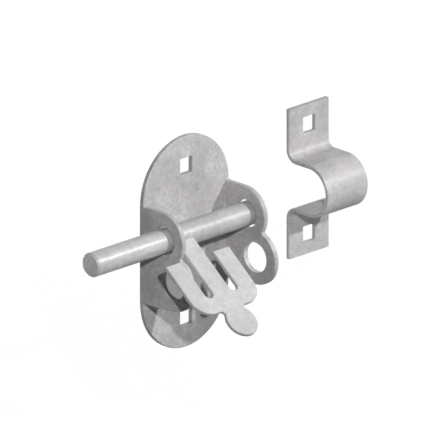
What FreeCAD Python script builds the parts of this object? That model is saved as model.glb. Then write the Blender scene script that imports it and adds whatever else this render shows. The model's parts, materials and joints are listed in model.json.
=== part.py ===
"""A galvanised padbolt and its keep, as a parametric document in millimetres.

X runs along the bolt towards the keep, Y runs into the wall and Z runs up. The origin is the centre of
the backplate's back face. "Out" in a name is a distance away from the wall, so it counts along -Y.
"""
import FreeCAD, Part
import math
import os
import Sketcher

# Driving sizes in millimetres, and the handle's tilt in degrees
SIZES = {
    # backplate and ears, one folded sheet
    "sheet": 3.5,
    "plate_width": 77.0,
    "fold_inside": 0.6,
    "fold_corner": 0.6,
    "fixing_square": 11.0,
    "fixing_corner": 0.8,
    "fixing_inset": 20.0,
    "upper_lobe": 18.0,
    "upper_lobe_back": 1.4,
    "eye_lobe": 18.0,
    "eye_out": 26.8,
    "eye_drop": 27.5,
    "eye_diameter": 20.2,
    "notch_round": 1.5,
    "heel_out": 12.0,
    "heel_drop": 19.5,
    # round bar
    "bar_diameter": 16.0,
    "bar_length": 150.0,
    "bar_nose": 6.6,
    "bar_chamfer": 1.2,
    "bar_out": 18.6,
    "bar_play": 1.4,
    # handle, a flat stamping welded to the bar
    "handle_sheet": 3.0,
    "handle_tilt": 39.0,
    "lobe_gap": 0.25,
    "middle_finger": 14.6,
    "outer_finger": 14.05,
    "finger_room": 0.8,
    "slot_play": 1.7,
    "slot_lead": 1.2,
    "slot_room": 3.5,
    "handle_web": 11.3,
    "handle_corner": 13.4,
    "tab_radius": 11.3,
    "tab_drop": 10.2,
    "neck_round": 2.2,
    "weld_gap": 0.06,
    "weld_leg": 3.2,
    "weld_short": 1.0,
    # keep, a bent strap
    "keep_sheet": 2.8,
    "keep_width": 36.0,
    "keep_play": 6.9,
    "keep_back": 1.9,
    "keep_bend": 5.4,
    "keep_flange": 27.2,
    "keep_fixing_inset": 13.5,
    "keep_along": 111.0,
    # broken edges of the sheets
    "edge_break": 0.5,
}

# Lengths that follow from the driving sizes
DERIVED = {
    "half_plate": "Sizes.plate_width / 2",
    "ear_inside": "Derived.half_plate - Sizes.sheet",
    "fold_end": "Sizes.sheet + Sizes.fold_inside",
    "half_root": "(Sizes.upper_lobe + Sizes.eye_drop + Sizes.heel_drop) / 2",
    "fixing_up": "Derived.half_root + Derived.half_plate - Sizes.fixing_inset",
    "bar_radius": "Sizes.bar_diameter / 2",
    "bar_up": "Derived.half_root - Sizes.upper_lobe",
    "bar_from_wall": "Sizes.sheet + Sizes.bar_out",
    "upper_lobe_from_wall": "Derived.bar_from_wall - Sizes.upper_lobe_back",
    "eye_from_wall": "Sizes.sheet + Sizes.eye_out",
    "eye_up": "Derived.bar_up - Sizes.eye_drop",
    "eye_before_bar": "Sizes.eye_out - Sizes.bar_out",
    "heel_from_wall": "Sizes.sheet + Sizes.heel_out",
    "lobe_reach": "sqrt(Derived.eye_before_bar ^ 2 + Sizes.eye_drop ^ 2) + Sizes.eye_lobe",
    "handle_lean": "Derived.eye_before_bar * sin(Sizes.handle_tilt)",
    "handle_fall": "Sizes.eye_drop * cos(Sizes.handle_tilt)",
    "underside": "Derived.handle_lean - Derived.handle_fall + Sizes.eye_lobe + Sizes.lobe_gap",
    "half_finger": "Sizes.middle_finger / 2",
    "half_slot": "Sizes.sheet / 2 + Sizes.slot_play",
    "slot_middle": "Derived.half_finger + Derived.half_slot",
    "slot_far": "Derived.half_finger + 2 * Derived.half_slot",
    "half_handle": "Derived.slot_far + Sizes.outer_finger",
    "finger_root": "Derived.bar_radius / 2",
    "finger_end": "Sizes.upper_lobe + Sizes.upper_lobe_back + Sizes.finger_room",
    "slot_tip": "Derived.lobe_reach + Sizes.slot_room",
    "slot_round": "Derived.slot_tip - Derived.half_slot",
    "handle_foot": "Derived.slot_tip + Sizes.handle_web",
    "tab_reach": "Derived.handle_foot + Sizes.tab_drop",
    "handle_along": "Sizes.sheet / 2 - Derived.half_plate - Sizes.slot_lead + Derived.slot_middle",
    "cope": "Derived.bar_radius + Sizes.weld_gap",
    "weld_seat": "sqrt(Derived.cope ^ 2 - Derived.underside ^ 2)",
    "weld_low": "Derived.underside - Sizes.weld_leg",
    "keep_inside": "Derived.bar_radius + Sizes.keep_play",
    "keep_outside": "Derived.keep_inside + Sizes.keep_sheet",
    "keep_nose": "Derived.bar_from_wall - Sizes.keep_back",
    "keep_back_bend": "Sizes.keep_bend + Sizes.keep_sheet",
    "keep_bend_up": "Derived.keep_inside + Derived.keep_back_bend",
    "keep_end": "Derived.keep_bend_up + Sizes.keep_flange",
    "keep_fixing_up": "Derived.keep_end - Sizes.keep_fixing_inset",
}

# Names of a sketch's origin and of its second axis in constraints
ORIGIN = (-1, 1)
UPRIGHT = -2

doc = FreeCAD.newDocument("Padbolt")
sheet = doc.addObject("Spreadsheet::Sheet", "Sizes")
for row, (name, number) in enumerate(SIZES.items(), start=1):
    sheet.set("A%d" % row, name)
    sheet.set("B%d" % row, str(number))
    sheet.setAlias("B%d" % row, name)
doc.recompute()
derived = doc.addObject("App::VarSet", "Derived")
for name, text in DERIVED.items():
    derived.addProperty("App::PropertyFloat", name)
    derived.setExpression(name, text)
doc.recompute()


def value(text):
    """Number behind a name such as Sizes.sheet or Derived.cope."""
    owner, name = text.split(".")
    return float(sheet.get(name)) if owner == "Sizes" else getattr(derived, name)


def new_body(label):
    """An empty body whose label is the name of the piece."""
    body = doc.addObject("PartDesign::Body", label)
    body.Label = label
    return body


def own_plane(body, role):
    """One of the body's own origin planes."""
    return next(item for item in body.Origin.OriginFeatures if item.Role == role)


def sketch_on(body, role, name, offset=None):
    """A sketch on one of the body's origin planes, or parallel to it at a bound distance."""
    sketch = body.newObject("Sketcher::SketchObject", name)
    sketch.AttachmentSupport = (own_plane(body, role), [""])
    sketch.MapMode = "FlatFace"
    if offset:
        sketch.setExpression("AttachmentOffset.Base.z", offset)
    doc.recompute()
    return sketch


def at(across, up):
    """A point of a sketch."""
    return FreeCAD.Vector(across, up, 0)


def toward(centre, point, length):
    """The point at a length from a centre, on its line to another point."""
    return centre + (point - centre).normalize() * length


def touch(first, reach, second, other, side):
    """Centre of a round at given distances from two points, on the left (+1) or right (-1) of their line."""
    line = second - first
    along = (reach ** 2 - other ** 2 + line.Length ** 2) / (2 * line.Length)
    away = math.sqrt(reach ** 2 - along ** 2)
    unit = FreeCAD.Vector(line).normalize()
    return first + unit * along + at(-unit.y, unit.x) * (side * away)


def angle_of(centre, point):
    """Angle of a point seen from a centre, in radians."""
    return math.atan2(point.y - centre.y, point.x - centre.x)


def add_chain(sketch, steps):
    """Draw a closed chain of lines and arcs, joined end to end, and list its pieces.

    A step is (end, smooth) for a line and (end, smooth, centre, turn) for an arc, where turn is +1 if the
    arc is walked anticlockwise and -1 if not. smooth says that the next step leaves tangentially. The
    chain starts where its last step ends. Each piece is listed as (index, tail vertex, head vertex).
    """
    start = steps[-1][0]
    pieces = []
    for step in steps:
        end = step[0]
        if len(step) == 2:
            pieces.append((sketch.addGeometry(Part.LineSegment(start, end)), 1, 2))
        else:
            centre, turn = step[2], step[3]
            circle = Part.Circle(centre, FreeCAD.Vector(0, 0, 1), centre.distanceToPoint(end))
            first, last = (start, end) if turn > 0 else (end, start)
            arc = Part.ArcOfCircle(circle, angle_of(centre, first), angle_of(centre, last))
            tail = 1 if turn > 0 else 2
            pieces.append((sketch.addGeometry(arc), tail, 3 - tail))
        start = end
    for place, step in enumerate(steps):
        following = pieces[(place + 1) % len(pieces)]
        kind = "Tangent" if step[1] else "Coincident"
        sketch.addConstraint(Sketcher.Constraint(kind, *head(pieces[place]), following[0], following[1]))
    return pieces


def head(piece):
    """The end point of a piece of a chain."""
    return piece[0], piece[2]


def centre_of(piece):
    """The centre of an arc or circle."""
    return piece[0], 3


def level(sketch, *pieces):
    """Keep lines parallel to the sketch's first axis."""
    for piece in pieces:
        sketch.addConstraint(Sketcher.Constraint("Horizontal", piece[0]))


def plumb(sketch, *pieces):
    """Keep lines parallel to the sketch's second axis."""
    for piece in pieces:
        sketch.addConstraint(Sketcher.Constraint("Vertical", piece[0]))


def on_upright(sketch, point):
    """Keep a point on the sketch's second axis."""
    sketch.addConstraint(Sketcher.Constraint("PointOnObject", *point, UPRIGHT))


def same_height(sketch, first, second):
    """Keep two points at one height in the sketch."""
    sketch.addConstraint(Sketcher.Constraint("Horizontal", *first, *second))


def same_point(sketch, first, second):
    """Keep two points together."""
    sketch.addConstraint(Sketcher.Constraint("Coincident", *first, *second))


def bind(sketch, constraint, name, text):
    """Add a named constraint and bind its size to the sheet."""
    index = sketch.addConstraint(constraint)
    sketch.renameConstraint(index, name)
    sketch.setExpression("Constraints." + name, text)


def across(sketch, left, right, name, text):
    """Bind the distance along the first axis from the left point to the right one."""
    gap = sketch.getPoint(*right).x - sketch.getPoint(*left).x
    bind(sketch, Sketcher.Constraint("DistanceX", *left, *right, gap), name, text)


def upward(sketch, low, high, name, text):
    """Bind the distance along the second axis from the low point to the high one."""
    gap = sketch.getPoint(*high).y - sketch.getPoint(*low).y
    bind(sketch, Sketcher.Constraint("DistanceY", *low, *high, gap), name, text)


def lift_from_axis(sketch, point, name):
    """Bind the height of a point over the bar's axis, where it may lie above or below it."""
    number = value("Derived." + name)
    if number >= 0:
        upward(sketch, ORIGIN, point, name, "Derived." + name)
    else:
        upward(sketch, point, ORIGIN, name, "-Derived." + name)


def radius(sketch, piece, name, text):
    """Bind the radius of an arc or circle."""
    number = sketch.Geometry[piece[0]].Radius
    bind(sketch, Sketcher.Constraint("Radius", piece[0], number), name, text)


def add_circle(sketch, left, up, size):
    """A circle of a sketch, listed like a piece of a chain."""
    circle = Part.Circle(at(-left, up), FreeCAD.Vector(0, 0, 1), size)
    return (sketch.addGeometry(circle), 3, 3)


def extrude(body, kind, sketch, name, text, both_ways=False):
    """Pad or pocket a sketch over a bound length, from its plane or to both sides of it."""
    before = body.Shape.Volume if body.Tip else 0
    feature = body.newObject("PartDesign::" + kind, name)
    feature.Profile = sketch
    feature.SideType = "Symmetric" if both_ways else "One side"
    feature.setExpression("Length", text)
    doc.recompute()
    grown = feature.Shape.Volume - before
    if grown <= 0 and kind == "Pad" or grown >= 0 and kind == "Pocket":
        raise RuntimeError(name + " changes nothing")
    return feature


def mirror(body, features, role, name):
    """Repeat features on the other side of one of the body's origin planes."""
    feature = body.newObject("PartDesign::Mirrored", name)
    feature.Originals = features
    feature.MirrorPlane = (own_plane(body, role), [""])
    body.Tip = feature
    doc.recompute()
    return feature


def break_edges(body, kind, prop, name, text, chosen):
    """Round or chamfer the edges of the body that the test picks."""
    base = body.Tip
    names = ["Edge%d" % place for place, edge in enumerate(base.Shape.Edges, start=1) if chosen(edge)]
    if not names:
        raise RuntimeError(name + " finds no edge")
    feature = body.newObject("PartDesign::" + kind, name)
    feature.Base = (base, names)
    feature.setExpression(prop, text)
    doc.recompute()
    return feature


def lies_at(edge, axis, number):
    """Whether an edge lies in the plane where one coordinate has the given size, on either side."""
    box = edge.BoundBox
    low, high = getattr(box, axis + "Min"), getattr(box, axis + "Max")
    return high - low < 0.01 and abs(abs(high) - number) < 0.01


def fixing_hole(body, up, length):
    """A square hole for a cup-square bolt above the body's middle, and its mirror image below."""
    half, corner = value("Sizes.fixing_square") / 2, value("Sizes.fixing_corner")
    place, flat = value(up), value("Sizes.fixing_square") / 2 - corner
    sketch = sketch_on(body, "XZ_Plane", "FixingSketch")
    lines_and_arcs = add_chain(sketch, [
        (at(flat, place - half), True),
        (at(half, place - flat), True, at(flat, place - flat), 1),
        (at(half, place + flat), True),
        (at(flat, place + half), True, at(flat, place + flat), 1),
        (at(-flat, place + half), True),
        (at(-half, place + flat), True, at(-flat, place + flat), 1),
        (at(-half, place - flat), True),
        (at(-flat, place - half), True, at(-flat, place - flat), 1),
    ])
    low, _, right, _, high, _, left, corner_arc = lines_and_arcs
    level(sketch, low, high)
    plumb(sketch, right, left)
    radius(sketch, corner_arc, "corner", "Sizes.fixing_corner")
    for arc in lines_and_arcs[1:7:2]:
        sketch.addConstraint(Sketcher.Constraint("Equal", corner_arc[0], arc[0]))
    across(sketch, ORIGIN, head(right), "right_half", "Sizes.fixing_square / 2")
    across(sketch, head(left), ORIGIN, "left_half", "Sizes.fixing_square / 2")
    upward(sketch, ORIGIN, head(low), "low_side", up + " - Sizes.fixing_square / 2")
    upward(sketch, ORIGIN, head(high), "high_side", up + " + Sizes.fixing_square / 2")
    hole = extrude(body, "Pocket", sketch, "Fixing", length, both_ways=True)
    mirror(body, [hole], "XY_Plane", "LowerFixing")


def build_backplate():
    """Plate with round ends and two ears folded forward, cut from one sheet.

    The right half is made first: ear, half plate and the fold between them. Then it is mirrored.
    """
    body = new_body("backplate")
    body.AllowCompound = True
    half, inside = value("Derived.half_plate"), value("Derived.ear_inside")
    gauge, bend, root = value("Sizes.sheet"), value("Derived.fold_end"), value("Derived.half_root")

    # right ear, seen from its left: top edge, upper lobe, notch, eye lobe, heel, bottom edge
    sketch = sketch_on(body, "YZ_Plane", "EarSketch", "Derived.ear_inside")
    lobe, eye_size, notch = value("Sizes.upper_lobe"), value("Sizes.eye_lobe"), value("Sizes.notch_round")
    upper = at(-value("Derived.upper_lobe_from_wall"), value("Derived.bar_up"))
    eye = at(-value("Derived.eye_from_wall"), value("Derived.eye_up"))
    heel = at(-value("Derived.heel_from_wall"), -root)
    dip = touch(upper, lobe + notch, eye, eye_size + notch, -1)
    gap = heel.distanceToPoint(eye)
    turned = angle_of(eye, heel) - math.acos(eye_size / gap)
    leave = eye + at(math.cos(turned), math.sin(turned)) * eye_size
    top, upper_arc, notch_arc, eye_arc, slope, bottom, rear = add_chain(sketch, [
        (at(upper.x, root), True),
        (toward(upper, dip, lobe), True, upper, 1),
        (toward(eye, dip, eye_size), True, dip, -1),
        (leave, True, eye, 1),
        (heel, False),
        (at(-bend, -root), False),
        (at(-bend, root), False),
    ])
    level(sketch, top, bottom)
    plumb(sketch, rear)
    radius(sketch, upper_arc, "upper_lobe", "Sizes.upper_lobe")
    radius(sketch, notch_arc, "notch_round", "Sizes.notch_round")
    radius(sketch, eye_arc, "eye_lobe", "Sizes.eye_lobe")
    across(sketch, centre_of(upper_arc), ORIGIN, "upper_from_wall", "Derived.upper_lobe_from_wall")
    across(sketch, centre_of(eye_arc), ORIGIN, "eye_from_wall", "Derived.eye_from_wall")
    across(sketch, head(slope), ORIGIN, "heel_from_wall", "Derived.heel_from_wall")
    across(sketch, head(rear), ORIGIN, "fold_end", "Derived.fold_end")
    upward(sketch, ORIGIN, head(top), "root_up", "Derived.half_root")
    upward(sketch, head(slope), ORIGIN, "root_down", "Derived.half_root")
    upward(sketch, centre_of(eye_arc), centre_of(upper_arc), "eye_drop", "Sizes.eye_drop")
    extrude(body, "Pad", sketch, "Ear", "Sizes.sheet")
    break_edges(
        body, "Chamfer", "Size", "EarEdges", "Sizes.edge_break",
        lambda edge: (lies_at(edge, "X", half) or lies_at(edge, "X", inside))
        and not lies_at(edge, "Y", bend),
    )

    # right half of the plate with its round ends
    sketch = sketch_on(body, "XZ_Plane", "PlateSketch")
    side, upper_end, seam, lower_end = add_chain(sketch, [
        (at(half, root), True),
        (at(0, root + half), False, at(0, root), 1),
        (at(0, -root - half), False),
        (at(half, -root), True, at(0, -root), 1),
    ])
    on_upright(sketch, head(upper_end))
    on_upright(sketch, head(seam))
    on_upright(sketch, centre_of(upper_end))
    on_upright(sketch, centre_of(lower_end))
    radius(sketch, upper_end, "upper_end", "Derived.half_plate")
    radius(sketch, lower_end, "lower_end", "Derived.half_plate")
    upward(sketch, ORIGIN, centre_of(upper_end), "upper_centre", "Derived.half_root")
    upward(sketch, centre_of(lower_end), ORIGIN, "lower_centre", "Derived.half_root")
    extrude(body, "Pad", sketch, "Plate", "Sizes.sheet")
    break_edges(
        body, "Chamfer", "Size", "PlateEdges", "Sizes.edge_break",
        lambda edge: (lies_at(edge, "Y", 0) or lies_at(edge, "Y", gauge)) and not lies_at(edge, "X", 0),
    )

    # half of the plate's section with its fold, seen from above
    sketch = sketch_on(body, "XY_Plane", "FoldSketch")
    inner_round, outer_round = value("Sizes.fold_inside"), value("Sizes.fold_corner")
    rim, flank, outer, back, middle, front, inner = add_chain(sketch, [
        (at(half, -bend), False),
        (at(half, -outer_round), True),
        (at(half - outer_round, 0), True, at(half - outer_round, -outer_round), 1),
        (at(0, 0), False),
        (at(0, -gauge), False),
        (at(inside - inner_round, -gauge), True),
        (at(inside, -bend), False, at(inside - inner_round, -bend), -1),
    ])
    level(sketch, rim, back, front)
    plumb(sketch, flank, middle)
    same_point(sketch, head(back), ORIGIN)
    same_height(sketch, centre_of(inner), head(rim))
    upward(sketch, head(middle), ORIGIN, "gauge", "Sizes.sheet")
    radius(sketch, inner, "fold_inside", "Sizes.fold_inside")
    radius(sketch, outer, "fold_corner", "Sizes.fold_corner")
    across(sketch, head(inner), head(rim), "ear_gauge", "Sizes.sheet")
    across(sketch, ORIGIN, head(rim), "half_plate", "Derived.half_plate")
    extrude(body, "Pad", sketch, "Fold", "2 * Derived.half_root", both_ways=True)

    whole = body.newObject("PartDesign::Mirrored", "OtherHalf")
    whole.TransformMode = "Whole shape"
    whole.MirrorPlane = (own_plane(body, "YZ_Plane"), [""])
    body.Tip = whole
    doc.recompute()

    # bolt hole and padlock eye through both ears
    sketch = sketch_on(body, "YZ_Plane", "BoreSketch")
    hole, half_eye = value("Derived.bar_radius") + value("Sizes.bar_play"), value("Sizes.eye_diameter") / 2
    bar = add_circle(sketch, value("Derived.bar_from_wall"), value("Derived.bar_up"), hole)
    lock = add_circle(sketch, value("Derived.eye_from_wall"), value("Derived.eye_up"), half_eye)
    radius(sketch, bar, "bolt_hole", "Derived.bar_radius + Sizes.bar_play")
    radius(sketch, lock, "eye", "Sizes.eye_diameter / 2")
    across(sketch, centre_of(bar), ORIGIN, "bar_from_wall", "Derived.bar_from_wall")
    across(sketch, centre_of(lock), ORIGIN, "eye_from_wall", "Derived.eye_from_wall")
    upward(sketch, ORIGIN, centre_of(bar), "bar_up", "Derived.bar_up")
    upward(sketch, centre_of(lock), centre_of(bar), "eye_drop", "Sizes.eye_drop")
    extrude(body, "Pocket", sketch, "Bores", "1.2 * Sizes.plate_width", both_ways=True)

    fixing_hole(body, "Derived.fixing_up", "3 * Sizes.sheet")
    return body


def build_bolt_rod():
    """Round bar with chamfered ends, standing at rest in the stored place."""
    body = new_body("bolt_rod")
    sketch = sketch_on(body, "YZ_Plane", "BarSketch")
    bar = add_circle(sketch, 0, 0, value("Derived.bar_radius"))
    same_point(sketch, centre_of(bar), ORIGIN)
    radius(sketch, bar, "bar_radius", "Derived.bar_radius")
    feature = body.newObject("PartDesign::Pad", "Bar")
    feature.Profile = sketch
    feature.SideType = "Two sides"
    feature.setExpression("Length", "Derived.half_plate + Sizes.bar_nose")
    feature.setExpression("Length2", "Sizes.bar_length - Derived.half_plate - Sizes.bar_nose")
    doc.recompute()
    ends = feature.Shape.BoundBox
    break_edges(
        body, "Chamfer", "Size", "EndChamfers", "Sizes.bar_chamfer",
        lambda edge: lies_at(edge, "X", ends.XMax) or lies_at(edge, "X", -ends.XMin),
    )
    body.setExpression("Placement.Base.y", "-Derived.bar_from_wall")
    body.setExpression("Placement.Base.z", "Derived.bar_up")
    return body


def build_handle():
    """Flat stamping with three fingers, two slots and a thumb tab. The middle finger is welded to the bar.

    Its own origin is on the bar's axis, -Y runs down the handle and Z is square to it.
    """
    body = new_body("handle")
    finger, far, half = value("Derived.half_finger"), value("Derived.slot_far"), value("Derived.half_handle")
    slot_x, slot_y = value("Derived.slot_middle"), value("Derived.slot_round")
    end, root, foot = value("Derived.finger_end"), value("Derived.finger_root"), value("Derived.handle_foot")
    corner, neck = value("Sizes.handle_corner"), value("Sizes.neck_round")
    tab, tab_y = value("Sizes.tab_radius"), value("Derived.tab_reach")

    # right half of the outline, walked from the outer side over the slot to the middle and the tab
    sketch = sketch_on(body, "XY_Plane", "OutlineSketch", "Derived.underside")
    dip = at(math.sqrt((tab + neck) ** 2 - (tab_y - foot - neck) ** 2), -foot - neck)
    middle = at(0, -tab_y)
    pieces = add_chain(sketch, [
        (at(half, -end), False),
        (at(far, -end), False),
        (at(far, -slot_y), True),
        (at(finger, -slot_y), True, at(slot_x, -slot_y), -1),
        (at(finger, -root), False),
        (at(0, -root), False),
        (at(0, -tab_y - tab), False),
        (toward(middle, dip, tab), True, middle, 1),
        (at(dip.x, -foot), True, dip, -1),
        (at(half - corner, -foot), True),
        (at(half, -foot + corner), True, at(half - corner, -foot + corner), 1),
    ])
    side, tip, wall, slot_arc, inner_wall, root_line = pieces[:6]
    centre_line, tab_arc, neck_arc, foot_line, corner_arc = pieces[6:]
    level(sketch, tip, root_line, foot_line)
    plumb(sketch, side, wall, inner_wall, centre_line)
    on_upright(sketch, head(root_line))
    on_upright(sketch, centre_of(tab_arc))
    across(sketch, ORIGIN, head(side), "half_handle", "Derived.half_handle")
    across(sketch, ORIGIN, head(tip), "slot_far", "Derived.slot_far")
    across(sketch, ORIGIN, head(inner_wall), "half_finger", "Derived.half_finger")
    upward(sketch, head(tip), ORIGIN, "finger_end", "Derived.finger_end")
    upward(sketch, head(root_line), ORIGIN, "finger_root", "Derived.finger_root")
    upward(sketch, centre_of(slot_arc), ORIGIN, "slot_round", "Derived.slot_round")
    upward(sketch, head(foot_line), ORIGIN, "handle_foot", "Derived.handle_foot")
    upward(sketch, centre_of(tab_arc), ORIGIN, "tab_reach", "Derived.tab_reach")
    radius(sketch, tab_arc, "tab", "Sizes.tab_radius")
    radius(sketch, neck_arc, "neck", "Sizes.neck_round")
    radius(sketch, corner_arc, "corner", "Sizes.handle_corner")
    plate = extrude(body, "Pad", sketch, "Plate", "Sizes.handle_sheet")
    mirror(body, [plate], "YZ_Plane", "OtherHalf")

    # weld run under the middle finger, seen along the bar
    sketch = sketch_on(body, "YZ_Plane", "WeldSketch")
    under, seat = value("Derived.underside"), value("Derived.weld_seat")
    leg, low, cope = value("Sizes.weld_leg"), value("Derived.weld_low"), value("Derived.cope")
    toe = at(-math.sqrt(cope ** 2 - low ** 2), low)
    seam, face, bed, back = add_chain(sketch, [
        (at(-seat - leg, under), False),
        (toe, False),
        (at(-root, low), False),
        (at(-root, under), False),
    ])
    level(sketch, seam, bed)
    plumb(sketch, back)
    bar = add_circle(sketch, 0, 0, cope)
    sketch.toggleConstruction(bar[0])
    same_point(sketch, centre_of(bar), ORIGIN)
    radius(sketch, bar, "cope", "Derived.cope")
    sketch.addConstraint(Sketcher.Constraint("PointOnObject", *head(face), bar[0]))
    across(sketch, head(seam), ORIGIN, "toe_reach", "Derived.weld_seat + Sizes.weld_leg")
    across(sketch, head(back), ORIGIN, "finger_root", "Derived.finger_root")
    upward(sketch, head(bed), head(back), "weld_leg", "Sizes.weld_leg")
    lift_from_axis(sketch, head(back), "underside")
    extrude(body, "Pad", sketch, "Weld", "Sizes.middle_finger - 2 * Sizes.weld_short", both_ways=True)

    # the finger and its weld end at the bar's surface
    sketch = sketch_on(body, "YZ_Plane", "CopeSketch")
    bar = add_circle(sketch, 0, 0, cope)
    same_point(sketch, centre_of(bar), ORIGIN)
    radius(sketch, bar, "cope", "Derived.cope")
    extrude(body, "Pocket", sketch, "Cope", "2 * Derived.slot_far", both_ways=True)

    under, top = value("Derived.underside"), value("Derived.underside") + value("Sizes.handle_sheet")
    break_edges(
        body, "Chamfer", "Size", "BrokenEdges", "Sizes.edge_break",
        lambda edge: edge.BoundBox.ZLength < 0.01
        and (abs(edge.BoundBox.ZMin - under) < 0.01 or abs(edge.BoundBox.ZMin - top) < 0.01)
        and edge.BoundBox.YMin < -end - 0.01,
    )

    body.Placement.Rotation = FreeCAD.Rotation(FreeCAD.Vector(1, 0, 0), value("Sizes.handle_tilt"))
    body.setExpression("Placement.Rotation.Angle", "Sizes.handle_tilt")
    body.setExpression("Placement.Base.x", "Derived.handle_along")
    body.setExpression("Placement.Base.y", "-Derived.bar_from_wall")
    body.setExpression("Placement.Base.z", "Derived.bar_up")
    return body


def build_keep():
    """Strap bent to a round nose over the bar, with a flange and a square hole at each end."""
    body = new_body("keep")
    gauge, nose, back = value("Sizes.keep_sheet"), value("Derived.keep_nose"), value("Derived.keep_back_bend")
    inside, outside = value("Derived.keep_inside"), value("Derived.keep_outside")
    turn_up, end = value("Derived.keep_bend_up"), value("Derived.keep_end")

    # upper half of the strap seen from its side
    sketch = sketch_on(body, "YZ_Plane", "StrapSketch")
    middle, pivot = at(-nose, 0), at(-back, turn_up)
    pieces = add_chain(sketch, [
        (at(-nose - inside, 0), False),
        (at(-nose, inside), True, middle, -1),
        (at(-back, inside), True),
        (at(0, turn_up), True, pivot, 1),
        (at(0, end), False),
        (at(-gauge, end), False),
        (at(-gauge, turn_up), True),
        (at(-back, outside), True, pivot, -1),
        (at(-nose, outside), True),
        (at(-nose - outside, 0), False, middle, 1),
    ])
    cut, inner_nose, inner_leg, back_bend, wall = pieces[:5]
    tip, front, front_bend, outer_leg, outer_nose = pieces[5:]
    level(sketch, inner_leg, tip, outer_leg)
    plumb(sketch, wall, front)
    same_point(sketch, centre_of(inner_nose), centre_of(outer_nose))
    same_point(sketch, centre_of(front_bend), centre_of(back_bend))
    same_height(sketch, ORIGIN, centre_of(inner_nose))
    same_height(sketch, ORIGIN, head(cut))
    same_height(sketch, ORIGIN, head(outer_nose))
    on_upright(sketch, head(wall))
    radius(sketch, inner_nose, "nose", "Derived.keep_inside")
    radius(sketch, front_bend, "bend", "Sizes.keep_bend")
    across(sketch, head(tip), head(wall), "gauge", "Sizes.keep_sheet")
    across(sketch, centre_of(inner_nose), ORIGIN, "nose_from_wall", "Derived.keep_nose")
    upward(sketch, ORIGIN, head(wall), "flange_end", "Derived.keep_end")
    strap = extrude(body, "Pad", sketch, "Strap", "Sizes.keep_width", both_ways=True)
    mirror(body, [strap], "XY_Plane", "LowerHalf")

    fixing_hole(body, "Derived.keep_fixing_up", "3 * Sizes.keep_sheet")
    side_at = value("Sizes.keep_width") / 2
    break_edges(
        body, "Chamfer", "Size", "BrokenEdges", "Sizes.edge_break",
        lambda edge: lies_at(edge, "X", side_at),
    )
    body.setExpression("Placement.Base.x", "Sizes.keep_along")
    body.setExpression("Placement.Base.z", "Derived.bar_up")
    return body


def check_and_export(bodies):
    """Stop on any failed object or shape, then write one STEP file for each body."""
    for item in doc.Objects:
        if "Invalid" in item.State or "Error" in item.State:
            raise RuntimeError(item.Name + " failed: " + ", ".join(item.State))
        if item.isDerivedFrom("Sketcher::SketchObject") and not item.FullyConstrained:
            raise RuntimeError(item.Name + " is not fully constrained")
    for body in bodies:
        if body.Shape.isNull() or not body.Shape.isValid() or len(body.Shape.Solids) != 1:
            raise RuntimeError(body.Label + " is not one valid solid")
    os.makedirs("parts", exist_ok=True)
    for body in bodies:
        body.Shape.exportStep("parts/" + body.Label + ".step")
        box = body.Shape.BoundBox
        print(body.Label, "volume %.0f mm3, X %.2f to %.2f, Y %.2f to %.2f, Z %.2f to %.2f" % (
            body.Shape.Volume, box.XMin, box.XMax, box.YMin, box.YMax, box.ZMin, box.ZMax))


pieces_of_padbolt = [build_backplate(), build_bolt_rod(), build_handle(), build_keep()]
doc.recompute()
check_and_export(pieces_of_padbolt)
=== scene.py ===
"""Dresses the padbolt: hot-dip zinc on its four steel pieces, the weld under the handle, and the stage."""
import json
import math

import bpy
import numpy as np
from bpy.props import FloatProperty, FloatVectorProperty, PointerProperty
from bpy.types import Operator, Panel, PropertyGroup
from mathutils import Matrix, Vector


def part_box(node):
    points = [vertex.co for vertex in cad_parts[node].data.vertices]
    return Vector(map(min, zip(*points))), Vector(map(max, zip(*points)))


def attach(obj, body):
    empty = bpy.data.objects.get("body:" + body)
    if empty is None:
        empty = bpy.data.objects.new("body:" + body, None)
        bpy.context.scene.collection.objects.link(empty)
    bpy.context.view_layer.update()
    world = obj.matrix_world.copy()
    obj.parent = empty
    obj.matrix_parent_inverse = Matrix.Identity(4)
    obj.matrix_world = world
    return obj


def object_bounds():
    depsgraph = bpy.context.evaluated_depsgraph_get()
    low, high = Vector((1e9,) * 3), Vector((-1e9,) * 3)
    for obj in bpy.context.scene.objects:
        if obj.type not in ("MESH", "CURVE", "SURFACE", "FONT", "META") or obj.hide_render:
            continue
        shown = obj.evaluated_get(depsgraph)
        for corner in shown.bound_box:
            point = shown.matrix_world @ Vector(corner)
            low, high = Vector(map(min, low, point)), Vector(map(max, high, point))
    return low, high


bl_info = {
    "name": "Galvanised padbolt",
    "version": (1, 0, 0),
    "blender": (4, 5, 0),
    "location": "3D View > Sidebar > Padbolt",
    "description": "Zinc finish, weld bead and studio for a folded padbolt and its keep",
    "category": "Object",
}

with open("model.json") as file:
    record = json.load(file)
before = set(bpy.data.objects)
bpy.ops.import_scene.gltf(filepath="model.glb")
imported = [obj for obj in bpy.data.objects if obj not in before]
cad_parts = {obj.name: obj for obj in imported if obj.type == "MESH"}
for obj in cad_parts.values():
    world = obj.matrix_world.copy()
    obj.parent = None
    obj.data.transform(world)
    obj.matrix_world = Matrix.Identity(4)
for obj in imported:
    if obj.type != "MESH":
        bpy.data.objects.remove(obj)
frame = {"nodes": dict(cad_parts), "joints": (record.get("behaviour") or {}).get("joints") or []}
CAD_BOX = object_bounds()
HINGE = next(joint for joint in frame["joints"] if joint["name"] == "handle_turn")
HANDLE_LOW, HANDLE_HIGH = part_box("handle")

# Zinc: its faint gloss beside bare metal, and how much duller it is on the weld
COAT_GLOSS = 0.05
WELD_DULLER = 0.06

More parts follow.
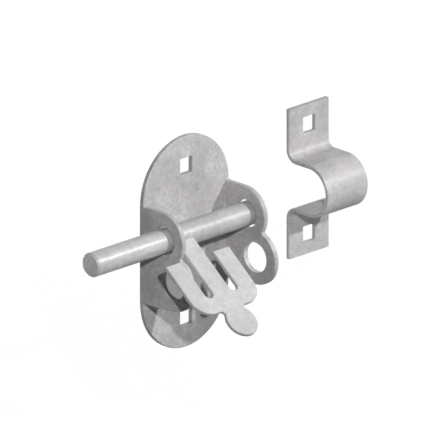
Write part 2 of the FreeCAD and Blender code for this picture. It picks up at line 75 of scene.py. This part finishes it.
# Stage: the place in the middle of the picture, what the lamps aim at, and how far off both stand
VIEW_MIDDLE = Vector((0.03735, 0.0, 0.00137))
CAMERA_DISTANCE = 1.2
LAMP_AIM = Vector((0.0, -0.02, 0.0))
LAMP_DISTANCE = 1.4
FLOOR_HALF_SIDE = 6.0
FLOOR_GLOW = 0.96


class ZincProperties(PropertyGroup):
    """The hot-dip coat that all four pieces share."""
    sheet_colour: FloatVectorProperty(
        name="Sheet zinc", description="Colour of the coat on plate and keep",
        subtype="COLOR", size=3, min=0, max=1, default=(0.525, 0.512, 0.519))
    # handle zinc is a lighter colour than sheet zinc; only the handle's pattern is smoother, since its
    # roughness is the plate's
    handle_colour: FloatVectorProperty(
        name="Handle zinc", description="Colour of the smoother coat on the handle",
        subtype="COLOR", size=3, min=0, max=1, default=(0.625, 0.611, 0.618))
    bar_colour: FloatVectorProperty(
        name="Bar zinc", description="Colour of the brighter coat on the round bar",
        subtype="COLOR", size=3, min=0, max=1, default=(0.550, 0.540, 0.545))
    roughness: FloatProperty(
        name="Roughness", description="Dullness of the coat", min=0, max=1, default=0.42)
    smoother: FloatProperty(
        name="Smoother", description="How much less dull the rolled bar and keep are", min=0, max=1,
        default=0.06)
    metal: FloatProperty(
        name="Metal", description="Share of plate, handle and weld that is clean metal", min=0, max=1,
        default=0.07)
    bar_metal: FloatProperty(
        name="Bar metal", description="Share of the bar that is clean metal", min=0, max=1, default=0.24)
    keep_metal: FloatProperty(
        name="Keep metal", description="Share of the keep that is clean metal", min=0, max=1, default=0.20)
    bloom_size: FloatProperty(
        name="Bloom size", description="Width of the soft pale and dark clouds in the coat",
        subtype="DISTANCE", unit="LENGTH", default=0.0065)
    grain_size: FloatProperty(
        name="Grain size", description="Width of the fine crystals in the coat",
        subtype="DISTANCE", unit="LENGTH", default=0.0011)


class WeldProperties(PropertyGroup):
    """The run of weld between the middle finger and the bar."""
    length: FloatProperty(
        name="Length", description="Length of the run along the bar",
        subtype="DISTANCE", unit="LENGTH", default=0.0130)
    reach: FloatProperty(
        name="Reach", description="Distance from the bar's axis to the middle of the bead",
        subtype="DISTANCE", unit="LENGTH", default=0.0095)
    half_width: FloatProperty(
        name="Half width", description="Half the width of the bead",
        subtype="DISTANCE", unit="LENGTH", default=0.0022)
    crown: FloatProperty(
        name="Crown", description="How far the bead bulges",
        subtype="DISTANCE", unit="LENGTH", default=0.0008)
    pitch: FloatProperty(
        name="Ripple pitch", description="Distance between two ripples",
        subtype="DISTANCE", unit="LENGTH", default=0.0014)
    tilt: FloatProperty(
        name="Handle tilt", description="Angle of the handle below level, when stored",
        subtype="ANGLE", unit="ROTATION", default=math.radians(39))


class StageProperties(PropertyGroup):
    """Camera, lamps, world and floor."""
    azimuth: FloatProperty(
        name="Azimuth", description="Side from which the camera looks", subtype="ANGLE", unit="ROTATION",
        default=math.radians(-45))
    elevation: FloatProperty(
        name="Elevation", description="Height from which the camera looks", subtype="ANGLE", unit="ROTATION",
        default=math.radians(19.4712))
    picture_width: FloatProperty(
        name="Picture width", description="Width that the camera sees", subtype="DISTANCE", unit="LENGTH",
        default=0.28444)
    key_power: FloatProperty(
        name="Right lamp", description="Power of the lamp at the right in watts", min=0, default=11.9)
    fill_power: FloatProperty(
        name="Left lamp", description="Power of the lamp at the left in watts", min=0, default=10.7)
    back_power: FloatProperty(
        name="Back lamp", description="Power of the lamp behind the plate in watts", min=0, default=11.0)
    world_level: FloatProperty(
        name="World", description="Level of the light from all round", min=0, default=0.015)
    floor_colour: FloatVectorProperty(
        name="Floor", description="Colour of the floor where it is lit",
        subtype="COLOR", size=3, min=0, max=1,
        default=(0.08, 0.08, 0.08))
    floor_drop: FloatProperty(
        name="Floor drop", description="How far the floor lies under the object", subtype="DISTANCE",
        unit="LENGTH", default=0.10)


def new_object(name, data):
    """A new object in the scene."""
    made = bpy.data.objects.new(name, data)
    bpy.context.scene.collection.objects.link(made)
    return made


def colour(rgb):
    """A colour with full opacity."""
    return (*rgb, 1.0)


def wire(tree, source, target):
    """Join an output socket to an input socket."""
    tree.links.new(source, target)


def node(tree, kind, **settings):
    """A node with some of its settings."""
    made = tree.nodes.new(kind)
    for name, setting in settings.items():
        setattr(made, name, setting)
    return made


def math_node(tree, operation, first, second=None, clamp=False):
    """A Math node fed by sockets or numbers, and its output."""
    made = node(tree, "ShaderNodeMath", operation=operation, use_clamp=clamp)
    for socket, value in zip(made.inputs, (first, second)):
        if value is None:
            continue
        if isinstance(value, (int, float)):
            socket.default_value = value
        else:
            wire(tree, value, socket)
    return made.outputs[0]


def scaled(tree, value, factor):
    """A value times a factor."""
    return math_node(tree, "MULTIPLY", value, factor)


def remap(tree, value, low, high, new_low=0.0, new_high=1.0):
    """A value carried from one range to another, held inside the new one."""
    made = node(tree, "ShaderNodeMapRange", clamp=True)
    wire(tree, value, made.inputs["Value"])
    for name, number in (("From Min", low), ("From Max", high), ("To Min", new_low), ("To Max", new_high)):
        made.inputs[name].default_value = number
    return made.outputs["Result"]


def noise(tree, place, scale, **amounts):
    """A noise on the given coordinates, with its detail, roughness and distortion where they are given."""
    made = node(tree, "ShaderNodeTexNoise")
    wire(tree, place, made.inputs["Vector"])
    wire(tree, scale, made.inputs["Scale"])
    for label, amount in amounts.items():
        made.inputs[label.capitalize()].default_value = amount
    return made.outputs["Fac"]


def seen_rays(tree):
    """One for a ray from the camera, from a reflection or through glass, and zero for any other."""
    rays = node(tree, "ShaderNodeLightPath")
    seen = math_node(tree, "MAXIMUM", rays.outputs["Is Camera Ray"], rays.outputs["Is Glossy Ray"])
    return math_node(tree, "MAXIMUM", seen, rays.outputs["Is Transmission Ray"])


def zinc_sockets(tree):
    """Give the zinc group its named inputs and outputs."""
    face = tree.interface
    face.new_socket("Vector", in_out="INPUT", socket_type="NodeSocketVector")
    face.new_socket("Coat", in_out="INPUT", socket_type="NodeSocketColor")
    for label, default in (
        ("Roughness", 0.5), ("Bloom size", 0.006), ("Grain size", 0.001), ("Bloom", 0.1), ("Crystals", 0.05),
        ("Flecks", 0.1), ("Veins", 0.1), ("Relief", 0.3),
    ):
        face.new_socket(label, in_out="INPUT", socket_type="NodeSocketFloat").default_value = default
    face.new_socket("Color", in_out="OUTPUT", socket_type="NodeSocketColor")
    face.new_socket("Roughness", in_out="OUTPUT", socket_type="NodeSocketFloat")
    face.new_socket("Normal", in_out="OUTPUT", socket_type="NodeSocketVector")


def zinc_group():
    """Shared pattern of the hot-dip coat.

    Colour is the coat's own colour times one plus five small terms: soft clouds at two sizes, pale veins
    where the zinc ran, crystals and dark flecks. A vein follows the middle level of a bent noise and shows
    only in patches. Crystals are the cell values of a Voronoi pattern. Roughness falls where the clouds and
    veins are pale, and rises in the flecks. The normal comes from a slow swell, the grain, the veins and the
    crystals.
    """
    name = "Hot-dip zinc"
    if name in bpy.data.node_groups:
        return bpy.data.node_groups[name]
    tree = bpy.data.node_groups.new(name, "ShaderNodeTree")
    zinc_sockets(tree)
    given, result = node(tree, "NodeGroupInput"), node(tree, "NodeGroupOutput")
    place = given.outputs["Vector"]

    # how fine each pattern is beside the soft clouds, and the crystals beside the grain
    wide_pace, run_pace, swell_pace, crystal_pace = 0.22, 0.8, 1.5, 0.5
    bloom_scale = math_node(tree, "DIVIDE", 1.0, given.outputs["Bloom size"])
    grain_scale = math_node(tree, "DIVIDE", 1.0, given.outputs["Grain size"])
    clouds = noise(tree, place, bloom_scale, detail=3.0, roughness=0.55, distortion=0.6)
    wide = noise(tree, place, scaled(tree, bloom_scale, wide_pace), detail=1.0)
    runs = noise(tree, place, scaled(tree, bloom_scale, run_pace), detail=2.5, distortion=1.6)
    swell = noise(tree, place, scaled(tree, bloom_scale, swell_pace), detail=3.0)
    grain = noise(tree, place, grain_scale, detail=2.0)
    crystals = node(tree, "ShaderNodeTexVoronoi", feature="F1")
    wire(tree, place, crystals.inputs["Vector"])
    wire(tree, scaled(tree, grain_scale, crystal_pace), crystals.inputs["Scale"])
    split = node(tree, "ShaderNodeSeparateColor")
    wire(tree, crystals.outputs["Color"], split.inputs["Color"])
    cell = split.outputs["Red"]

    # colour: each pattern about its own middle, where veins and flecks begin, and the sum of all
    middle, wide_weight = 0.5, 0.8
    patch_from, patch_to = 0.43, 0.55
    vein_width = 0.060
    fleck_from, fleck_to = 0.60, 0.74
    cloud_term = math_node(tree, "SUBTRACT", clouds, middle)
    wide_term = math_node(tree, "SUBTRACT", wide, middle)
    both = math_node(tree, "ADD", cloud_term, scaled(tree, wide_term, wide_weight))
    bloom = scaled(tree, both, given.outputs["Bloom"])
    level = math_node(tree, "ABSOLUTE", math_node(tree, "SUBTRACT", runs, middle))
    vein = scaled(
        tree, remap(tree, level, 0.0, vein_width, 1.0, 0.0), remap(tree, wide, patch_from, patch_to))
    vein_share = scaled(tree, vein, given.outputs["Veins"])
    cell_share = scaled(tree, math_node(tree, "SUBTRACT", cell, middle), given.outputs["Crystals"])
    fleck = remap(tree, grain, fleck_from, fleck_to)
    fleck_share = scaled(tree, fleck, given.outputs["Flecks"])
    total = math_node(tree, "ADD", math_node(tree, "ADD", bloom, cell_share), 1.0)
    total = math_node(tree, "ADD", math_node(tree, "SUBTRACT", total, fleck_share), vein_share)
    tinted = node(tree, "ShaderNodeVectorMath", operation="SCALE")
    wire(tree, given.outputs["Coat"], tinted.inputs[0])
    wire(tree, total, tinted.inputs["Scale"])
    wire(tree, tinted.outputs["Vector"], result.inputs["Color"])

    # roughness: clouds and veins take some off, and flecks add some
    cloud_polish, vein_polish, fleck_dulling = 0.22, 0.06, 0.08
    dull = math_node(tree, "ADD", scaled(tree, both, -cloud_polish), given.outputs["Roughness"])
    dull = math_node(tree, "SUBTRACT", dull, scaled(tree, vein, vein_polish))
    dull = math_node(tree, "ADD", dull, scaled(tree, fleck, fleck_dulling), clamp=True)
    wire(tree, dull, result.inputs["Roughness"])

    # normal: grain, veins and crystals stand on the swell, whose full height is the depth
    depth = 0.0004
    grain_height, vein_height, crystal_height = 0.05, 0.20, 0.02
    height = swell
    for pattern, share in ((grain, grain_height), (vein, vein_height), (cell, crystal_height)):
        height = math_node(tree, "ADD", height, scaled(tree, pattern, share))
    bump = node(tree, "ShaderNodeBump")
    bump.inputs["Distance"].default_value = depth
    wire(tree, given.outputs["Relief"], bump.inputs["Strength"])
    wire(tree, height, bump.inputs["Height"])
    wire(tree, bump.outputs["Normal"], result.inputs["Normal"])
    return tree


def zinc_material(name, coat, roughness, metal, turn=(0.0, 0.0, 0.0), shift=(0.0, 0.0, 0.0), **amounts):
    """A material for one piece: the shared pattern with the piece's own colour and amounts.

    turn and shift carry the pattern to another place, so that no two pieces show the same stretch of it.
    """
    zinc = bpy.context.scene.padbolt_zinc
    material = bpy.data.materials.new(name)
    material.use_nodes = True
    tree = material.node_tree
    shader = tree.nodes["Principled BSDF"]
    shader.inputs["Metallic"].default_value = metal
    shader.inputs["Specular IOR Level"].default_value = COAT_GLOSS
    coords = node(tree, "ShaderNodeTexCoord")
    mapping = node(tree, "ShaderNodeMapping")
    mapping.inputs["Location"].default_value = shift
    mapping.inputs["Rotation"].default_value = turn
    wire(tree, coords.outputs["Object"], mapping.inputs["Vector"])
    pattern = node(tree, "ShaderNodeGroup")
    pattern.node_tree = zinc_group()
    wire(tree, mapping.outputs["Vector"], pattern.inputs["Vector"])
    pattern.inputs["Coat"].default_value = colour(coat)
    pattern.inputs["Roughness"].default_value = roughness
    pattern.inputs["Bloom size"].default_value = zinc.bloom_size
    pattern.inputs["Grain size"].default_value = zinc.grain_size
    for label, amount in amounts.items():
        pattern.inputs[label.capitalize()].default_value = amount
    wire(tree, pattern.outputs["Color"], shader.inputs["Base Color"])
    wire(tree, pattern.outputs["Roughness"], shader.inputs["Roughness"])
    wire(tree, pattern.outputs["Normal"], shader.inputs["Normal"])
    return material


def coat_node(node_name, material):
    """Give a CAD node one material."""
    mesh = frame["nodes"][node_name].data
    mesh.materials.clear()
    mesh.materials.append(material)


def grid_mesh(name, points):
    """Mesh of a grid that closes round its second direction and runs to a point at both ends of its first.

    points is an array (rings, steps, 3). Each end ring is one point repeated, so only its first is kept.
    The faces point outwards where the rings turn anticlockwise, seen from the last one.
    """
    rings, steps, _ = points.shape
    body = points[1:-1].reshape(-1, 3)
    verts = np.vstack([points[0, :1], body, points[-1, :1]])
    along, around = np.meshgrid(np.arange(rings - 3), np.arange(steps), indexing="ij")
    after = (around + 1) % steps
    near, far = along * steps, (along + 1) * steps
    quads = np.stack((near + around, near + after, far + after, far + around), axis=-1).reshape(-1, 4) + 1
    ring, last = np.arange(steps), len(verts) - 1
    following = (ring + 1) % steps
    first_cap = np.stack([np.zeros(steps, int), following + 1, ring + 1], axis=-1)
    base = 1 + (rings - 3) * steps
    last_cap = np.stack([np.full(steps, last), base + ring, base + following], axis=-1)
    mesh = bpy.data.meshes.new(name)
    mesh.from_pydata(verts.tolist(), [], quads.tolist() + first_cap.tolist() + last_cap.tolist())
    mesh.shade_smooth()
    mesh.validate()
    mesh.update()
    return mesh


def add_piece(name, mesh, body, material):
    """Put a finished mesh in the scene on a CAD body."""
    piece = new_object(name, mesh)
    piece.data.materials.append(material)
    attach(piece, body)
    return piece


class PADBOLT_OT_backplate(Operator):
    """Coat the folded backplate with its two ears"""
    bl_idname = "padbolt.backplate"
    bl_label = "Coat the backplate"

    def execute(self, context):
        zinc = context.scene.padbolt_zinc
        coat_node("backplate", zinc_material(
            "Zinc on the backplate", zinc.sheet_colour, zinc.roughness, zinc.metal,
            shift=(0.3, 0.1, 0.2),
            bloom=0.44, crystals=0.12, flecks=0.16, veins=0.20, relief=0.50))
        return {"FINISHED"}


class PADBOLT_OT_bar(Operator):
    """Coat the round bar"""
    bl_idname = "padbolt.bar"
    bl_label = "Coat the bar"

    def execute(self, context):
        zinc = context.scene.padbolt_zinc
        coat_node("bolt_rod", zinc_material(
            "Zinc on the bar", zinc.bar_colour, zinc.roughness - zinc.smoother, zinc.bar_metal,
            shift=(0.7, 0.4, 0.1),
            bloom=0.42, crystals=0.08, flecks=0.12, veins=0.10, relief=0.30))
        return {"FINISHED"}


class PADBOLT_OT_handle(Operator):
    """Coat the handle and lay the weld bead under its middle finger"""
    bl_idname = "padbolt.handle"
    bl_label = "Coat the handle and its weld"

    def execute(self, context):
        zinc = context.scene.padbolt_zinc
        coat_node("handle", zinc_material(
            "Zinc on the handle", zinc.handle_colour, zinc.roughness, zinc.metal,
            turn=(0.65, 0.0, 0.0), shift=(0.1, 0.6, 0.4),
            bloom=0.38, crystals=0.08, flecks=0.10, veins=0.08, relief=0.30))
        weld = zinc_material(
            "Zinc on the weld", zinc.sheet_colour, zinc.roughness + WELD_DULLER, zinc.metal,
            shift=(0.2, 0.5, 0.9),
            bloom=0.60, crystals=0.08, flecks=0.20, veins=0.05, relief=0.30)
        add_piece("weld_bead", self.bead(context), "handle", weld)
        return {"FINISHED"}

    def bead(self, context):
        """Bead along the bar.

        Along x it runs from one end to the other, and round the bead a = 0 to 2 pi. Its section is half_width
        times cos a across and crown times sin a out, with a fifth of that inwards. The crown swells by a
        tenth on each ripple, and a ripple lags at the shoulders by a third of a pitch, so it shows as a
        crescent. The width shrinks by up to three hundredths in slow waves. Towards both ends the section
        shrinks with the root of 1 - s^6, where s runs from -1 to 1.
        """
        rings, steps = 97, 40
        end_power, inward = 6, 0.2
        swelling, lag_share = 0.10, 1 / 3
        narrowing, wave_pace = 0.03, 1.3
        weld = context.scene.padbolt_weld
        along = np.linspace(-1, 1, rings)[:, None]
        turn = np.linspace(0, 2 * np.pi, steps, endpoint=False)[None, :]
        close = np.sqrt(np.clip(1 - np.abs(along) ** end_power, 0, 1))
        x = along * weld.length / 2 + 0 * turn
        lag = weld.pitch * lag_share * np.cos(turn) ** 2
        ripple = 1 + swelling * np.cos(2 * np.pi * (x + lag) / weld.pitch)
        wave = 1 - narrowing * np.sin(x / weld.pitch * wave_pace) ** 2
        wide = weld.half_width * np.cos(turn) * close * wave
        bulge = np.where(np.sin(turn) > 0, np.sin(turn), inward * np.sin(turn))
        high = weld.crown * bulge * close * ripple
        # q runs down the handle and n out of its top face. The bead lies at the angle place about the bar's
        # axis, in the corner under the finger, and bulges the way that the angle face gives
        face, place = math.radians(-43.3), math.radians(2.7)
        q = weld.reach * math.cos(place) + high * math.cos(face) - wide * math.sin(face)
        n = weld.reach * math.sin(place) + high * math.sin(face) + wide * math.cos(face)
        down, lift = -math.cos(weld.tilt), -math.sin(weld.tilt)
        hinge = np.array(HINGE["pos_m"])
        middle = (HANDLE_LOW.x + HANDLE_HIGH.x) / 2
        points = np.stack([
            middle + x,
            hinge[1] + q * down + n * lift,
            hinge[2] + q * lift - n * down,
        ], axis=-1)
        return grid_mesh("weld_bead", points)


class PADBOLT_OT_keep(Operator):
    """Coat the bent keep"""
    bl_idname = "padbolt.keep"
    bl_label = "Coat the keep"

    def execute(self, context):
        zinc = context.scene.padbolt_zinc
        coat_node("keep", zinc_material(
            "Zinc on the keep", zinc.sheet_colour, zinc.roughness - zinc.smoother, zinc.keep_metal,
            shift=(0.9, 0.2, 0.8),
            bloom=0.46, crystals=0.10, flecks=0.14, veins=0.12, relief=0.28))
        return {"FINISHED"}


class PADBOLT_OT_stage(Operator):
    """Set up the camera, the lamps, the world and the floor"""
    bl_idname = "padbolt.stage"
    bl_label = "Set the stage"

    def execute(self, context):
        stage = context.scene.padbolt_stage
        scene = context.scene
        scene.view_settings.view_transform = "Standard"
        self.camera(scene, stage)
        self.world(scene, stage)
        self.lamps(stage)
        self.floor(stage)
        return {"FINISHED"}

    def camera(self, scene, stage):
        """Parallel view from the given azimuth and elevation, centred a little right of the backplate."""
        azimuth, elevation = stage.azimuth, stage.elevation
        back = Vector((
            math.sin(azimuth) * math.cos(elevation),
            -math.cos(azimuth) * math.cos(elevation),
            math.sin(elevation),
        ))
        data = bpy.data.cameras.new("camera")
        data.type = "ORTHO"
        data.ortho_scale = stage.picture_width
        camera = new_object("camera", data)
        camera.location = VIEW_MIDDLE + back * CAMERA_DISTANCE
        camera.rotation_euler = back.to_track_quat("Z", "Y").to_euler()
        scene.camera = camera

    def world(self, scene, stage):
        """Weak light from all round, which the camera and reflections see as white."""
        world = bpy.data.worlds.new("studio")
        world.use_nodes = True
        tree = world.node_tree
        light = tree.nodes["Background"]
        light.inputs["Color"].default_value = (1, 1, 1, 1)
        level = remap(tree, seen_rays(tree), 0.0, 1.0, stage.world_level, 1.0)
        wire(tree, level, light.inputs["Strength"])
        scene.world = world

    def lamps(self, stage):
        """Two lamps in front and above, one from each side, and a wide one behind the plate."""
        for name, toward, size, power in (
            ("right", (0.55, -1.0, 0.71), 0.05, stage.key_power),
            ("left", (-0.75, -1.0, 0.65), 0.05, stage.fill_power),
            ("back", (0.30, 1.0, 0.06), 0.60, stage.back_power),
        ):
            data = bpy.data.lights.new(name, "AREA")
            data.shape = "DISK"
            data.size = size
            data.energy = power
            lamp = new_object(name, data)
            # the back lamp is wide, and would glint along the keep's inner edge
            lamp.visible_glossy = name != "back"
            way = Vector(toward).normalized()
            lamp.location = LAMP_AIM + way * LAMP_DISTANCE
            lamp.rotation_euler = way.to_track_quat("Z", "Y").to_euler()

    def floor(self, stage):
        """A wide floor under the object, seen as white with the object's shadow on it."""
        low = CAD_BOX[0].z - stage.floor_drop
        side = FLOOR_HALF_SIDE
        mesh = bpy.data.meshes.new("floor")
        mesh.from_pydata(
            [(-side, -side, low), (side, -side, low), (side, side, low), (-side, side, low)],
            [], [(0, 1, 2, 3)])
        floor = new_object("floor", mesh)
        material = bpy.data.materials.new("Pale floor")
        material.use_nodes = True
        tree = material.node_tree
        tree.nodes.remove(tree.nodes["Principled BSDF"])
        out = tree.nodes["Material Output"]
        paint = node(tree, "ShaderNodeBsdfDiffuse")
        paint.inputs["Color"].default_value = colour(stage.floor_colour)
        glow = node(tree, "ShaderNodeEmission")
        wire(tree, scaled(tree, seen_rays(tree), FLOOR_GLOW), glow.inputs["Strength"])
        both = node(tree, "ShaderNodeAddShader")
        wire(tree, paint.outputs[0], both.inputs[0])
        wire(tree, glow.outputs[0], both.inputs[1])
        wire(tree, both.outputs[0], out.inputs["Surface"])
        mesh.materials.append(material)


class PADBOLT_PT_panel(Panel):
    """Lists the sizes, colours and steps of the padbolt"""
    bl_idname = "PADBOLT_PT_panel"
    bl_label = "Padbolt"
    bl_space_type = "VIEW_3D"
    bl_region_type = "UI"
    bl_category = "Padbolt"

    def draw(self, context):
        for title, group in (
            ("Zinc", context.scene.padbolt_zinc),
            ("Weld", context.scene.padbolt_weld),
            ("Stage", context.scene.padbolt_stage),
        ):
            box = self.layout.box()
            box.label(text=title)
            for name in group.bl_rna.properties.keys():
                if name not in {"rna_type", "name"}:
                    box.prop(group, name)
        for step in STEPS:
            self.layout.operator(step.bl_idname)


GROUPS = {
    "padbolt_zinc": ZincProperties,
    "padbolt_weld": WeldProperties,
    "padbolt_stage": StageProperties,
}
STEPS = (PADBOLT_OT_stage, PADBOLT_OT_backplate, PADBOLT_OT_bar, PADBOLT_OT_handle, PADBOLT_OT_keep)
CLASSES = (*GROUPS.values(), *STEPS, PADBOLT_PT_panel)


def register():
    """Make the classes known and hang the groups of properties on the scene."""
    for cls in CLASSES:
        bpy.utils.register_class(cls)
    for name, group in GROUPS.items():
        setattr(bpy.types.Scene, name, PointerProperty(type=group))


def unregister():
    """Undo what register does, in the opposite order."""
    for name in GROUPS:
        delattr(bpy.types.Scene, name)
    for cls in reversed(CLASSES):
        bpy.utils.unregister_class(cls)


def main():
    """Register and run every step."""
    register()
    bpy.ops.padbolt.stage()
    bpy.ops.padbolt.backplate()
    bpy.ops.padbolt.bar()
    bpy.ops.padbolt.handle()
    bpy.ops.padbolt.keep()


if __name__ == "__main__":
    main()
